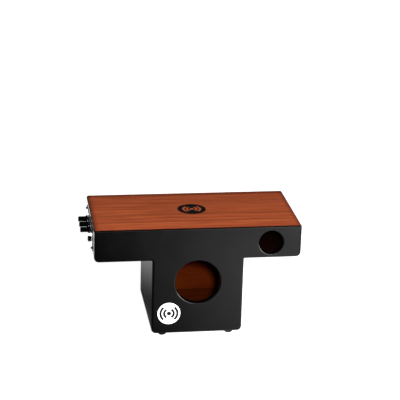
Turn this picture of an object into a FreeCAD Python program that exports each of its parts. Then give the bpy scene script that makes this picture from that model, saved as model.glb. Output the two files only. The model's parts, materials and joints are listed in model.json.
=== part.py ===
"""Slap-top cajon: a T-shaped wooden box drum, played on its flat top, with a pickup and a preamp.

Frame: X runs along the playing surface, the front with the sound hole faces -Y, Z is up.
The origin is on the floor, below the middle of the box, and all lengths are in millimetres.
"""
import FreeCAD, Part
import math
import os
import re
import Sketcher

doc = FreeCAD.newDocument("cajon")
Vector = FreeCAD.Vector

# ---------------------------------------------------------------- driving sizes

SIZES = {
    # the box
    "body_width": 500,
    "body_depth": 254,
    "body_height": 272,
    "arm_height": 82,
    "stem_width": 222,
    "panel": 12,
    "board": 5,
    "corner_radius": 11.5,
    "inner_radius": 3,
    "edge_radius": 5.5,
    "board_edge": 4.9,
    "batten": 15,
    # openings in the front
    "hole_radius": 54.5,
    "hole_rise": 133,
    "port_radius": 29,
    "port_side": 176,
    "port_rise": 230,
    "rim_radius": 3.5,
    # feet and their screws
    "foot_height": 11,
    "foot_radius": 11,
    "foot_sole": 8.5,
    "foot_dome": 3,
    "foot_side": 82,
    "foot_inset": 25,
    "foot_recess": 5,
    "foot_screw": 2,
    "foot_head": 4.2,
    "foot_head_height": 2.6,
    "foot_bite": 10,
    # emblems
    "emblem_thickness": 0.3,
    "front_emblem": 27.8,
    "front_emblem_side": 69,
    "front_emblem_rise": 53,
    "top_emblem": 35,
    "top_emblem_back": 5,
    # snares under the playing surface
    "bar_side": 100,
    "bar_width": 16,
    "bar_height": 12,
    "snare_gap": 0.2,
    "strand_radius": 1.1,
    "strand_length": 74,
    "strand_pitch": 8,
    "strand_count": 10,
    "strip_thickness": 0.8,
    "strip_length": 124,
    "snare_screw": 1.5,
    "snare_screw_head": 3,
    "snare_screw_side": 52,
    # control plate on the left arm's end
    "plate_length": 188,
    "plate_height": 52,
    "plate_thickness": 2,
    "plate_back": 5,
    "plate_corner": 4,
    "plate_bevel": 0.5,
    "cutout_length": 146,
    "cutout_height": 40,
    "plate_screw": 1.5,
    "plate_screw_head": 3.1,
    "plate_screw_dome": 2.6,
    "plate_screw_bite": 9,
    "plate_screw_along": 83,
    "plate_screw_up": 20.5,
    # controls, measured outwards from the arm's end
    "knob_pitch": 37,
    "knob_back": 18.5,
    "knob_rise": 4,
    "knob_base": 2.6,
    "knob_reach": 25.5,
    "knob_grip": 6.4,
    "knob_skirt": 9.5,
    "skirt_height": 4.4,
    "skirt_slope": 1.6,
    "skirt_wall": 1.5,
    "knob_recess": 3,
    "pointer_width": 1,
    "pointer_depth": 0.5,
    "shaft_radius": 3,
    "shaft_depth": 6,
    "shaft_reach": 20,
    "shaft_play": 0.05,
    "bush_radius": 3.5,
    "bush_reach": 5,
    "pot_radius": 8.2,
    "pot_depth": 9,
    "nut_height": 2,
    "nut_corner": 5.8,
    "hole_play": 0.1,
    # output jack
    "jack_front": 38,
    "jack_drop": 12.5,
    "jack_block": 14,
    "jack_depth": 22,
    "jack_barrel": 5.5,
    "jack_reach": 8.6,
    "jack_bore": 3.25,
    "jack_bore_depth": 18,
    "jack_nut": 7,
    "jack_nut_height": 6,
    # circuit board behind the pots
    "circuit_front": 25,
    "circuit_back": 68,
    "circuit_height": 34,
    "circuit_thickness": 1.6,
    "connector": 6,
    # battery, its bracket and snap
    "battery_width": 26.5,
    "battery_height": 17.5,
    "battery_length": 48.5,
    "battery_inner": 178.5,
    "battery_front": 60,
    "bracket_sheet": 1,
    "bracket_length": 30,
    "bracket_flange": 12,
    "bracket_screw": 1.5,
    "bracket_head": 3,
    "bracket_bite": 8,
    "snap_thickness": 5,
    # pickup and leads
    "pickup_radius": 13.5,
    "pickup_thickness": 0.6,
    "pickup_cap": 8,
    "pickup_cap_height": 3,
    "lead_radius": 1.2,
    "lead_gap": 0.7,
    "clip_length": 8,
    "clip_width": 7,
    "clip_wall": 0.6,
}

sheet = doc.addObject("Spreadsheet::Sheet", "sizes")
for row, (alias, value) in enumerate(SIZES.items(), 1):
    sheet.set(f"A{row}", alias)
    sheet.set(f"B{row}", str(value))
    sheet.setAlias(f"B{row}", alias)
doc.recompute()

# ---------------------------------------------------------------- helpers

LEFT_FACE = "-body_width / 2"
FRONT_FACE = "-body_depth / 2"
INNER_FRONT = "-body_depth / 2 + panel"
INNER_BACK = "body_depth / 2 - panel"
STEM_TOP = "foot_height + body_height - arm_height + panel"
BOARD_UNDER = "foot_height + body_height - board"
TOP = "foot_height + body_height"
PLATE_MIDDLE = "foot_height + body_height - arm_height / 2"
KNOB_HEIGHT = PLATE_MIDDLE + " + knob_rise"
JACK_HEIGHT = PLATE_MIDDLE + " - jack_drop"

TOUCH = 1e-3            # lengths and volumes closer than this count as equal

OUTWARD_LEFT = FreeCAD.Rotation(Vector(0, 1, 0), -90)   # local Z points to -X, local X points up
OUTWARD_FRONT = FreeCAD.Rotation(Vector(1, 0, 0), 90)   # local Z points to -Y

parts = []


def formula(text):
    """Turn a text of size names into an expression on the sheet."""
    return re.sub(r"[a-z]\w*", r"sizes.\g<0>", text)


probe = doc.addObject("App::FeaturePython", "probe")
probe.addProperty("App::PropertyFloat", "Result")


def number(text):
    """Value of a text of size names, in millimetres."""
    probe.setExpression("Result", formula(text))
    probe.recompute()
    return probe.Result


def place(item, x="0", y="0", z="0", turn=None):
    """Bind an object's position to the sheet."""
    if turn is not None:
        item.Placement = FreeCAD.Placement(Vector(), turn)
    for axis, text in zip("xyz", (x, y, z)):
        item.setExpression(f"Placement.Base.{axis}", formula(text))


def finish(item, label):
    """Name an object as one of the cajon's pieces."""
    item.Label = label
    parts.append(item)
    return item


def new_body(label, x="0", y="0", z="0", turn=None):
    body = doc.addObject("PartDesign::Body", label)
    place(body, x, y, z, turn)
    return finish(body, label)


def new_sketch(body, role, height="0"):
    """Sketch on one of the body's own origin planes, lifted off it by height."""
    sketch = body.newObject("Sketcher::SketchObject", f"{body.Name}_sketch")
    plane = next(item for item in body.Origin.OriginFeatures if item.Role == role)
    sketch.AttachmentSupport = (plane, [""])
    sketch.MapMode = "FlatFace"
    sketch.setExpression("AttachmentOffset.Base.z", formula(height))
    return sketch


def pin_down(sketch, curve, vertex, across, up):
    """Fix one vertex of a curve at a distance from the sketch's origin."""
    for kind, text in (("DistanceX", across), ("DistanceY", up)):
        constraint = Sketcher.Constraint(kind, -1, 1, curve, vertex, number(text))
        index = sketch.addConstraint(constraint)
        sketch.setExpression(f"Constraints[{index}]", formula(text))


def draw_outline(sketch, corners):
    """Closed outline of straight lines through corners, each a pair of size texts."""
    points = [Vector(number(across), number(up), 0) for across, up in corners]
    first = sketch.GeometryCount
    for start, end in zip(points, points[1:] + points[:1]):
        sketch.addGeometry(Part.LineSegment(start, end))
    for step, (across, up) in enumerate(corners):
        following = first + (step + 1) % len(corners)
        sketch.addConstraint(Sketcher.Constraint("Coincident", first + step, 2, following, 1))
        pin_down(sketch, first + step, 1, across, up)


def draw_rectangle(sketch, left, right, low, high):
    draw_outline(sketch, [(left, low), (right, low), (right, high), (left, high)])


def draw_circle(sketch, across, up, radius):
    centre = Vector(number(across), number(up), 0)
    curve = sketch.addGeometry(Part.Circle(centre, Vector(0, 0, 1), number(radius)))
    pin_down(sketch, curve, 3, across, up)
    index = sketch.addConstraint(Sketcher.Constraint("Radius", curve, number(radius)))
    sketch.setExpression(f"Constraints[{index}]", formula(radius))


def add_pad(body, sketch, length):
    pad = body.newObject("PartDesign::Pad", f"{body.Name}_pad")
    pad.Profile = sketch
    pad.setExpression("Length", formula(length))
    doc.recompute()
    return pad


def add_pocket(body, sketch, depth=None):
    """Cut the sketch out of the body, right through it or to a depth."""
    uncut = body.Shape.Volume
    pocket = body.newObject("PartDesign::Pocket", f"{body.Name}_pocket")
    pocket.Profile = sketch
    if depth is None:
        pocket.Type = "ThroughAll"
        pocket.Midplane = True
    else:
        pocket.setExpression("Length", formula(depth))
    doc.recompute()
    if body.Shape.Volume > uncut - TOUCH:
        pocket.Reversed = True
        doc.recompute()
    if body.Shape.Volume > uncut - TOUCH:
        raise RuntimeError(f"the pocket in {body.Label} cuts nothing")
    return pocket


def add_round(body, radius, wanted, kind="Fillet"):
    """Round (or bevel) those edges of the body for which wanted(edge) is true."""
    base = body.Tip
    names = [f"Edge{index}" for index, edge in enumerate(base.Shape.Edges, 1) if wanted(edge)]
    feature = body.newObject(f"PartDesign::{kind}", f"{body.Name}_{kind.lower()}")
    feature.Base = (base, names)
    feature.setExpression("Radius" if kind == "Fillet" else "Size", formula(radius))
    doc.recompute()
    return feature


def add_turning(body, corners):
    """Revolve an outline of (radius, height) corners about the body's Z axis."""
    sketch = new_sketch(body, "XZ_Plane")
    draw_outline(sketch, corners)
    turning = body.newObject("PartDesign::Revolution", f"{body.Name}_turning")
    turning.Profile = sketch
    turning.ReferenceAxis = (sketch, ["V_Axis"])
    doc.recompute()
    return turning


def near(value, text):
    return abs(value - number(text)) < TOUCH


def runs_along(edge, axis):
    """True for a straight edge parallel to one of the body's axes."""
    ends = [vertex.Point for vertex in edge.Vertexes]
    if edge.Curve.TypeId != "Part::GeomLine" or len(ends) != 2:
        return False
    return abs(abs((ends[1] - ends[0])[axis]) - edge.Length) < TOUCH


def lies_at(edge, axis, text):
    """True when the whole edge lies in the plane at that distance along an axis."""
    box = edge.BoundBox
    low = (box.XMin, box.YMin, box.ZMin)[axis]
    high = (box.XMax, box.YMax, box.ZMax)[axis]
    return near(low, text) and near(high, text)


def plank(label, x, y, z):
    """Rectangular board between pairs of size texts along X, Y and Z."""
    body = new_body(label, x[0], y[0], z[0])
    sketch = new_sketch(body, "XY_Plane")
    draw_rectangle(sketch, "0", f"{x[1]} - ({x[0]})", "0", f"{y[1]} - ({y[0]})")
    add_pad(body, sketch, f"{z[1]} - ({z[0]})")
    return body


def cylinder(radius, length, x, y, z, turn=None):
    item = doc.addObject("Part::Cylinder", "cylinder")
    item.setExpression("Radius", formula(radius))
    item.setExpression("Height", formula(length))
    place(item, x, y, z, turn)
    return item


def compound(label, shapes):
    """Group of separate, equal solids, such as a set of screws."""
    item = doc.addObject("Part::Feature", label)
    item.Shape = Part.makeCompound(shapes)
    return finish(item, label)


# ---------------------------------------------------------------- wooden box

def t_panel(label, y, outer_side):
    """T-shaped front or back panel; outer_side is its outer face's local Y."""
    body = new_body(label, "0", y, "foot_height")
    sketch = new_sketch(body, "XZ_Plane")
    top = "body_height - board"
    armpit = "body_height - arm_height"
    half = [("stem_width / 2", "0"), ("stem_width / 2", armpit),
            ("body_width / 2", armpit), ("body_width / 2", top)]
    mirrored = [(f"-{across}", up) for across, up in reversed(half)]
    draw_outline(sketch, half + mirrored)
    add_pad(body, sketch, "panel")

    def outer_corner(edge):
        at_stem = lies_at(edge, 2, "0")
        at_arm = lies_at(edge, 2, armpit) and abs(edge.CenterOfMass.x) > number("stem_width / 2") + 1
        return runs_along(edge, 1) and (at_stem or at_arm)

    def armpit_corner(edge):
        at_stem = near(abs(edge.CenterOfMass.x), "stem_width / 2")
        return runs_along(edge, 1) and lies_at(edge, 2, armpit) and at_stem

    def outer_edge(edge):
        return lies_at(edge, 1, outer_side) and not lies_at(edge, 2, top)

    add_round(body, "corner_radius", outer_corner)
    add_round(body, "inner_radius", armpit_corner)
    add_round(body, "edge_radius", outer_edge)
    return body


def front_panel():
    """Front with the large sound hole in the stem and the small port in the right arm."""
    body = t_panel("front_panel", INNER_FRONT, "-panel")
    sketch = new_sketch(body, "XZ_Plane")
    draw_circle(sketch, "0", "hole_rise", "hole_radius")
    draw_circle(sketch, "port_side", "port_rise", "port_radius")
    add_pocket(body, sketch)

    def rim(edge):
        return lies_at(edge, 1, "-panel") and edge.Curve.TypeId == "Part::GeomCircle" and edge.isClosed()

    add_round(body, "rim_radius", rim)


def stem_walls():
    """Two sides and the floor of the stem; the floor carries both rounded corners."""
    height = ("foot_height + panel", STEM_TOP)
    depth = (INNER_FRONT, INNER_BACK)
    plank("stem_side_left", ("-stem_width / 2", "-stem_width / 2 + panel"), depth, height)
    plank("stem_side_right", ("stem_width / 2 - panel", "stem_width / 2"), depth, height)
    width = ("-stem_width / 2", "stem_width / 2")
    floor = plank("stem_floor", width, depth, ("foot_height", "foot_height + panel"))
    add_round(floor, "corner_radius",
              lambda edge: runs_along(edge, 1) and lies_at(edge, 2, "0"))
    pilots = new_sketch(floor, "XY_Plane")
    for x in ("-foot_side", "foot_side"):
        for y in ("-body_depth / 2 + foot_inset", "body_depth / 2 - foot_inset"):
            draw_circle(pilots, f"stem_width / 2 + {x}", f"{y} - ({INNER_FRONT})", "foot_screw")
    add_pocket(floor, pilots, "foot_bite")


def arm_walls():
    """Floor and end of each arm; the left end is cut out for the preamp."""
    depth = (INNER_FRONT, INNER_BACK)
    low = ("foot_height + body_height - arm_height", STEM_TOP)
    high = (STEM_TOP, BOARD_UNDER)
    for side, floor_x, end_x, outer in (
            ("left", (LEFT_FACE, "-stem_width / 2"), (LEFT_FACE, f"{LEFT_FACE} + panel"), "0"),
            ("right", ("stem_width / 2", "body_width / 2"), ("body_width / 2 - panel", "body_width / 2"),
             "(body_width - stem_width) / 2")):
        floor = plank(f"arm_floor_{side}", floor_x, depth, low)
        add_round(floor, "corner_radius", lambda edge: runs_along(edge, 1)
                  and lies_at(edge, 2, "0") and lies_at(edge, 0, outer))
        end = plank(f"arm_end_{side}", end_x, depth, high)
        if side == "left":
            cut_for_preamp(end)


def cut_for_preamp(end):
    """Window for the circuit and pilot holes for the control plate's screws."""
    middle_y = f"plate_back - ({INNER_FRONT})"
    middle_z = f"{PLATE_MIDDLE} - ({STEM_TOP})"
    window = new_sketch(end, "YZ_Plane")
    draw_rectangle(window, f"{middle_y} - cutout_length / 2", f"{middle_y} + cutout_length / 2",
                   f"{middle_z} - cutout_height / 2", f"{middle_z} + cutout_height / 2")
    add_pocket(end, window)
    pilots = new_sketch(end, "YZ_Plane")
    for along in ("- plate_screw_along", "+ plate_screw_along"):
        for up in ("- plate_screw_up", "+ plate_screw_up"):
            draw_circle(pilots, f"{middle_y} {along}", f"{middle_z} {up}", "plate_screw")
    add_pocket(end, pilots, "plate_screw_bite")


def playing_surface():
    """Thin board that is struck; its upper edge is rounded all round."""
    board = plank("playing_surface", (LEFT_FACE, "body_width / 2"),
                  (FRONT_FACE, "body_depth / 2"), (BOARD_UNDER, TOP))
    add_round(board, "edge_radius", lambda edge: runs_along(edge, 2))
    add_round(board, "board_edge", lambda edge: lies_at(edge, 2, "board"))


def corner_battens():
    """Glue blocks that stiffen the stem's upright corners."""
    height = ("foot_height + panel", STEM_TOP)
    wall = "stem_width / 2 - panel"
    for side, x in (("left", (f"-({wall})", f"-({wall}) + batten")), ("right", (f"{wall} - batten", wall))):
        plank(f"batten_front_{side}", x, (INNER_FRONT, f"{INNER_FRONT} + batten"), height)
        plank(f"batten_back_{side}", x, (f"{INNER_BACK} - batten", INNER_BACK), height)


# ---------------------------------------------------------------- feet and emblems

def feet():
    """Domed rubber feet, each with a recess for its screw's head."""
    screws = []
    for front, y in (("front", "-body_depth / 2 + foot_inset"), ("back", "body_depth / 2 - foot_inset")):
        for side, x in (("left", "-foot_side"), ("right", "foot_side")):
            foot = new_body(f"foot_{front}_{side}", x, y)
            add_turning(foot, [
                ("foot_recess", "0"), ("foot_sole", "0"), ("foot_radius", "foot_dome"),
                ("foot_radius", "foot_height"), ("foot_screw", "foot_height"),
                ("foot_screw", "foot_recess"), ("foot_recess", "foot_recess")])
            add_round(foot, "foot_dome / 2",
                      lambda edge: lies_at(edge, 2, "foot_dome") and edge.isClosed())
            screws.append(foot_screw(Vector(number(x), number(y), 0)))
    compound("foot_screws", screws)


def foot_screw(centre):
    """Round-headed screw driven upwards into the floor."""
    seat = number("foot_recess")
    head_height = number("foot_head_height")
    head = Part.makeCylinder(number("foot_head"), head_height, centre + Vector(0, 0, seat - head_height))
    shank = Part.makeCylinder(number("foot_screw"), number("foot_height + foot_bite") - seat,
                              centre + Vector(0, 0, seat))
    return head.fuse(shank).removeSplitter()


def emblems():
    """Thin round badges, one on the stem's front and one on the playing surface."""
    front = cylinder("front_emblem", "emblem_thickness", "-front_emblem_side", FRONT_FACE,
                     "foot_height + front_emblem_rise", OUTWARD_FRONT)
    finish(front, "front_emblem")
    finish(cylinder("top_emblem", "emblem_thickness", "0", "top_emblem_back", TOP), "top_emblem")


# ---------------------------------------------------------------- snares

BAR_TOP = BOARD_UNDER + " - snare_gap - 2 * strand_radius - strip_thickness"
STRIP_TOP = BAR_TOP + " + strip_thickness"


def snares():
    """Two wooden bars, each with a strip that presses loose coil wires to the board."""
    screws = []
    for side, sign in (("left", -1), ("right", 1)):
        near_edge, far_edge = "bar_side - bar_width / 2", "bar_side + bar_width / 2"
        x = (near_edge, far_edge) if sign > 0 else (f"-({far_edge})", f"-({near_edge})")
        bar = plank(f"snare_bar_{side}", x, (INNER_FRONT, INNER_BACK), (f"{BAR_TOP} - bar_height", BAR_TOP))
        strip = plank(f"snare_strip_{side}", x, ("-strip_length / 2", "strip_length / 2"),
                      (BAR_TOP, STRIP_TOP))
        holes = new_sketch(strip, "XY_Plane")
        pilots = new_sketch(bar, "XY_Plane", "bar_height")
        for y in ("-snare_screw_side", "snare_screw_side"):
            draw_circle(holes, "bar_width / 2", f"{y} + strip_length / 2", "snare_screw")
            draw_circle(pilots, "bar_width / 2", f"{y} - ({INNER_FRONT})", "snare_screw")
            screws.append(snare_screw(Vector(sign * number("bar_side"), number(y), number(STRIP_TOP))))
        add_pocket(strip, holes)
        add_pocket(bar, pilots, "bar_height / 2")
        compound(f"snare_wires_{side}", snare_wires(sign))
    compound("snare_screws", screws)


def snare_screw(seat):
    head = Part.makeCylinder(number("snare_screw_head"), number("strand_radius"), seat)
    length = number("strip_thickness + bar_height / 2")
    shank = Part.makeCylinder(number("snare_screw"), length, seat - Vector(0, 0, length))
    return head.fuse(shank).removeSplitter()


def snare_wires(sign):
    """Row of strands that lie on the strip and reach inwards, just under the board."""
    outer_end = sign * number("bar_side")
    height = number(STRIP_TOP + " + strand_radius")
    pitch = number("strand_pitch")
    count = int(number("strand_count"))
    strands = []
    for index in range(count):
        start = Vector(outer_end, (index - (count - 1) / 2) * pitch, height)
        strands.append(Part.makeCylinder(number("strand_radius"), number("strand_length"), start,
                                         Vector(-sign, 0, 0)))
    return strands


# ---------------------------------------------------------------- preamp

def control_plate():
    """Bright metal plate over the window, bored for the controls and its screws."""
    plate = new_body("control_plate", f"{LEFT_FACE} - plate_thickness", "plate_back", PLATE_MIDDLE)
    sketch = new_sketch(plate, "YZ_Plane")
    draw_rectangle(sketch, "-plate_length / 2", "plate_length / 2", "-plate_height / 2", "plate_height / 2")
    add_pad(plate, sketch, "plate_thickness")
    add_round(plate, "plate_corner", lambda edge: runs_along(edge, 0))
    add_round(plate, "plate_bevel", lambda edge: lies_at(edge, 0, "0"), "Chamfer")
    holes = new_sketch(plate, "YZ_Plane")
    for along in ("-plate_screw_along", "plate_screw_along"):
        for up in ("-plate_screw_up", "plate_screw_up"):
            draw_circle(holes, along, up, "plate_screw + hole_play")
    for _, y in knob_places():
        draw_circle(holes, f"{y} - plate_back", "knob_rise", "bush_radius + hole_play")
    draw_circle(holes, "-jack_front - plate_back", "-jack_drop", "jack_barrel + hole_play")
    add_pocket(plate, holes)


def plate_screws():
    """Four domed screws that hold the plate to the arm's end."""
    dome = number("plate_screw_dome")
    head_radius = number("plate_screw_head")
    face = number(f"{LEFT_FACE} - plate_thickness")
    length = number("plate_thickness + plate_screw_bite")
    sphere = (head_radius ** 2 + dome ** 2) / (2 * dome)
    screws = []
    for along in (-1, 1):
        for up in (-1, 1):
            seat = Vector(face, number("plate_back") + along * number("plate_screw_along"),
                          number(PLATE_MIDDLE) + up * number("plate_screw_up"))
            ball = Part.makeSphere(sphere, seat + Vector(sphere - dome, 0, 0))
            head = ball.common(Part.makeCylinder(head_radius, dome, seat, Vector(-1, 0, 0)))
            shank = Part.makeCylinder(number("plate_screw"), length, seat, Vector(1, 0, 0))
            screws.append(head.fuse(shank).removeSplitter())
    compound("plate_screws", screws)


def knob_places():
    """Name of each control and its place along the plate, from the back to the front."""
    return (("volume", "knob_back + knob_pitch"),
            ("bass", "knob_back"),
            ("treble", "knob_back - knob_pitch"))


def controls():
    for name, y in knob_places():
        where = (LEFT_FACE, y, KNOB_HEIGHT, OUTWARD_LEFT)
        pot(f"{name}_pot", where)
        pot_nut(f"{name}_nut", where)
        shaft(f"{name}_shaft", where)
        knob(f"{name}_knob", where)


def pot(label, where):
    """Potentiometer: round case behind the plate and a bush through it."""
    body = new_body(label, *where)
    bore = "shaft_radius + shaft_play"
    bottom = "-shaft_depth - shaft_play"
    add_turning(body, [
        ("0", "-pot_depth"), ("pot_radius", "-pot_depth"), ("pot_radius", "0"), ("bush_radius", "0"),
        ("bush_radius", "bush_reach"), (bore, "bush_reach"), (bore, bottom), ("0", bottom)])


def pot_nut(label, where):
    """Hexagonal nut on the bush."""
    prism = doc.addObject("Part::Prism", "hexagon")
    prism.Polygon = 6
    prism.setExpression("Circumradius", formula("nut_corner"))
    prism.setExpression("Height", formula("nut_height"))
    place(prism, z="plate_thickness")
    thread = cylinder("bush_radius", "nut_height", "0", "0", "plate_thickness")
    nut = doc.addObject("Part::Cut", label)
    nut.Base = prism
    nut.Tool = thread
    place(nut, *where)
    finish(nut, label)


def shaft(label, where):
    """Round steel shaft that turns in the bush and carries the knob."""
    body = new_body(label, *where)
    sketch = new_sketch(body, "XY_Plane", "-shaft_depth")
    draw_circle(sketch, "0", "0", "shaft_radius")
    add_pad(body, sketch, "shaft_depth + shaft_reach")


def knob(label, where):
    """Knob with a narrow grip on a wider skirt, hollow over the nut, with a pointer groove."""
    body = new_body(label, *where)
    skirt_top = "knob_base + skirt_height"
    ceiling = "knob_base + knob_recess"
    add_turning(body, [
        ("knob_skirt - skirt_wall", "knob_base"), ("knob_skirt", "knob_base"),
        ("knob_skirt", f"{skirt_top} - skirt_slope"), ("knob_grip", skirt_top),
        ("knob_grip", "knob_reach"), ("0", "knob_reach"), ("0", "shaft_reach"),
        ("shaft_radius", "shaft_reach"), ("shaft_radius", ceiling),
        ("knob_skirt - skirt_wall", ceiling)])
    add_round(body, "pointer_width", lambda edge: lies_at(edge, 2, "knob_reach"), "Fillet")
    groove = new_sketch(body, "XY_Plane", "knob_reach")
    draw_rectangle(groove, "0", "knob_grip", "-pointer_width / 2", "pointer_width / 2")
    add_pocket(body, groove, "pointer_depth")


def output_jack():
    """Jack socket: square block behind the plate and a round threaded barrel through it."""
    body = new_body("output_jack", LEFT_FACE, "-jack_front", JACK_HEIGHT, OUTWARD_LEFT)
    block = new_sketch(body, "XY_Plane", "-jack_depth")
    draw_rectangle(block, "-jack_block / 2", "jack_block / 2", "-jack_block / 2", "jack_block / 2")
    add_pad(body, block, "jack_depth")
    barrel = new_sketch(body, "XY_Plane")
    draw_circle(barrel, "0", "0", "jack_barrel")
    add_pad(body, barrel, "jack_reach")
    bore = new_sketch(body, "XY_Plane", "jack_reach")
    draw_circle(bore, "0", "0", "jack_bore")
    add_pocket(body, bore, "jack_reach + jack_bore_depth")
    nut = new_body("jack_nut", LEFT_FACE, "-jack_front", JACK_HEIGHT, OUTWARD_LEFT)
    ring = new_sketch(nut, "XY_Plane", "plate_thickness")
    draw_circle(ring, "0", "0", "jack_nut")
    draw_circle(ring, "0", "0", "jack_barrel")
    add_pad(nut, ring, "jack_nut_height")
    add_round(nut, "plate_bevel", lambda edge: lies_at(edge, 2, "plate_thickness + jack_nut_height")
              and edge.BoundBox.XLength > 2 * number("jack_barrel") + 1, "Chamfer")


CIRCUIT_FACE = LEFT_FACE + " + pot_depth + circuit_thickness"
# Where each lead plugs in: distance along Y and height above the plate's middle.
CONNECTORS = {"pickup": (52, 8), "battery": (32, -6), "jack": (-10, -8)}
CHIPS_ALONG = (8, 60)
CAPACITORS_ALONG = (4, 20, 36)


def circuit_board():
    """Board that the pots are soldered to, with its connectors and larger components."""
    board = new_body("preamp_board", LEFT_FACE + " + pot_depth", "0", PLATE_MIDDLE)
    outline = new_sketch(board, "YZ_Plane")
    draw_rectangle(outline, "-circuit_front", "circuit_back", "-circuit_height / 2", "circuit_height / 2")
    add_pad(board, outline, "circuit_thickness")
    sockets = new_sketch(board, "YZ_Plane", "circuit_thickness")
    for y, z in CONNECTORS.values():
        draw_rectangle(sockets, f"{y} - connector / 2", f"{y} + connector / 2",
                       f"{z} - connector / 2", f"{z} + connector / 2")
    add_pad(board, sockets, "connector")
    chips = new_sketch(board, "YZ_Plane", "circuit_thickness")
    for y in CHIPS_ALONG:
        draw_rectangle(chips, f"{y} - connector", f"{y} + connector / 2", "-2 * connector", "-connector")
    add_pad(board, chips, "circuit_thickness")
    capacitors = new_sketch(board, "YZ_Plane", "circuit_thickness")
    for y in CAPACITORS_ALONG:
        draw_circle(capacitors, str(y), "2 * connector", "connector / 2")
    add_pad(board, capacitors, "connector + circuit_thickness")


# ---------------------------------------------------------------- battery

BATTERY_X = ("-battery_inner - battery_width", "-battery_inner")
BATTERY_Y = ("-battery_front", "-battery_front + battery_length")
BATTERY_BASE = STEM_TOP + " + bracket_sheet"


def battery():
    """Nine volt block in a spring bracket on the left arm's floor."""
    block = plank("battery", BATTERY_X, BATTERY_Y, (BATTERY_BASE, f"{BATTERY_BASE} + battery_height"))
    add_round(block, "bracket_sheet", lambda edge: runs_along(edge, 1))
    snap_y = (BATTERY_Y[1], f"{BATTERY_Y[1]} + snap_thickness")
    snap = plank("battery_snap", BATTERY_X, snap_y, (BATTERY_BASE, f"{BATTERY_BASE} + battery_height"))
    add_round(snap, "snap_thickness / 2", lambda edge: runs_along(edge, 1))


def battery_bracket():
    """Sheet bent round the battery's foot, with two flanges screwed to the floor."""
    middle = "-battery_inner - battery_width / 2"
    body = new_body("battery_bracket", middle, "-battery_front + bracket_sheet", STEM_TOP)
    half = "battery_width / 2"
    wide = "battery_width / 2 + bracket_sheet"
    flange = "battery_width / 2 + bracket_flange"
    rim = "battery_height * 2 / 3"
    right = [(flange, "0"), (flange, "bracket_sheet"), (wide, "bracket_sheet"), (wide, rim),
             (half, rim), (half, "bracket_sheet")]
    left = [(f"-({across})", up) for across, up in reversed(right)]
    profile = new_sketch(body, "XZ_Plane", "-bracket_length")
    draw_outline(profile, right + left)
    add_pad(body, profile, "bracket_length")
    holes = new_sketch(body, "XY_Plane")
    spots = []
    for side in ("-", ""):
        across = f"{side}(battery_width / 2 + bracket_flange / 2)"
        draw_circle(holes, across, "bracket_length / 2", "bracket_screw")
        spots.append(number(f"{middle} + {across}"))
    add_pocket(body, holes)
    bracket_screws(spots)
    return spots


def bracket_screws(spots):
    y = number("-battery_front + bracket_sheet + bracket_length / 2")
    seat = number(BATTERY_BASE)
    length = number("bracket_sheet + bracket_bite")
    screws = []
    for x in spots:
        head = Part.makeCylinder(number("bracket_head"), number("bracket_screw"), Vector(x, y, seat))
        shank = Part.makeCylinder(number("bracket_screw"), length, Vector(x, y, seat - length))
        screws.append(head.fuse(shank).removeSplitter())
    compound("bracket_screws", screws)


def bracket_pilots(spots):
    """Holes in the left arm's floor for the bracket's screws."""
    floor = next(item for item in parts if item.Label == "arm_floor_left")
    pilots = new_sketch(floor, "XY_Plane", "panel")
    for side in ("-", ""):
        across = f"-battery_inner - battery_width / 2 + {side}(battery_width / 2 + bracket_flange / 2)"
        draw_circle(pilots, f"{across} - ({LEFT_FACE})",
                    f"-battery_front + bracket_sheet + bracket_length / 2 - ({INNER_FRONT})",
                    "bracket_screw")
    add_pocket(floor, pilots, "bracket_bite")


# ---------------------------------------------------------------- pickup and leads

LEAD_HEIGHT = BOARD_UNDER + " - lead_radius - lead_gap"


def pickup():
    """Piezo disc glued under the board, with a square cap over its solder joints."""
    body = new_body("piezo_pickup", "0", "0", f"{BOARD_UNDER} - pickup_thickness")
    disc = new_sketch(body, "XY_Plane")
    draw_circle(disc, "0", "0", "pickup_radius")
    add_pad(body, disc, "pickup_thickness")
    cap = new_sketch(body, "XY_Plane", "-pickup_cap_height")
    draw_rectangle(cap, "-pickup_cap / 2", "pickup_cap / 2", "-pickup_cap / 2", "pickup_cap / 2")
    add_pad(body, cap, "pickup_cap_height")


LARGEST_SHARE = 0.45    # share of the shorter run that an arc may take up


def lead(label, points):
    """Round lead along straight runs joined by arcs, each as large as its two runs allow."""
    radius = number("lead_radius")
    edges, here = [], points[0]
    for before, corner, after in zip(points, points[1:], points[2:]):
        run_in, run_out = corner - before, after - corner
        tangent = LARGEST_SHARE * min(run_in.Length, run_out.Length)
        start = corner - run_in.normalize() * tangent
        end = corner + run_out.normalize() * tangent
        turn = run_in.getAngle(run_out)
        bend = tangent / math.tan(turn / 2)
        to_centre = (run_out - run_in).normalize()
        reach = math.hypot(tangent, bend)
        middle = corner + to_centre * (reach - bend)
        edges.append(Part.makeLine(here, start))
        edges.append(Part.Arc(start, middle, end).toShape())
        print(f"{label}: turn {turn:.2f} rad, bend radius {bend:.1f} mm")
        here = end
    edges.append(Part.makeLine(here, points[-1]))
    path = Part.Wire(edges)
    section = Part.Wire(Part.Circle(points[0], points[1] - points[0], radius).toShape())
    tube = path.makePipeShell([section], True, False)
    expected = math.pi * radius ** 2 * path.Length
    if abs(tube.Volume / expected - 1) > TOUCH:
        raise RuntimeError(f"{label} has the wrong volume")
    item = doc.addObject("Part::Feature", label)
    item.Shape = tube
    finish(item, label)


def connector_mouth(name):
    """Middle of a connector's open face, where a lead ends."""
    y, z = CONNECTORS[name]
    return Vector(number(CIRCUIT_FACE + " + connector"), y, number(PLATE_MIDDLE) + z)


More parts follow.
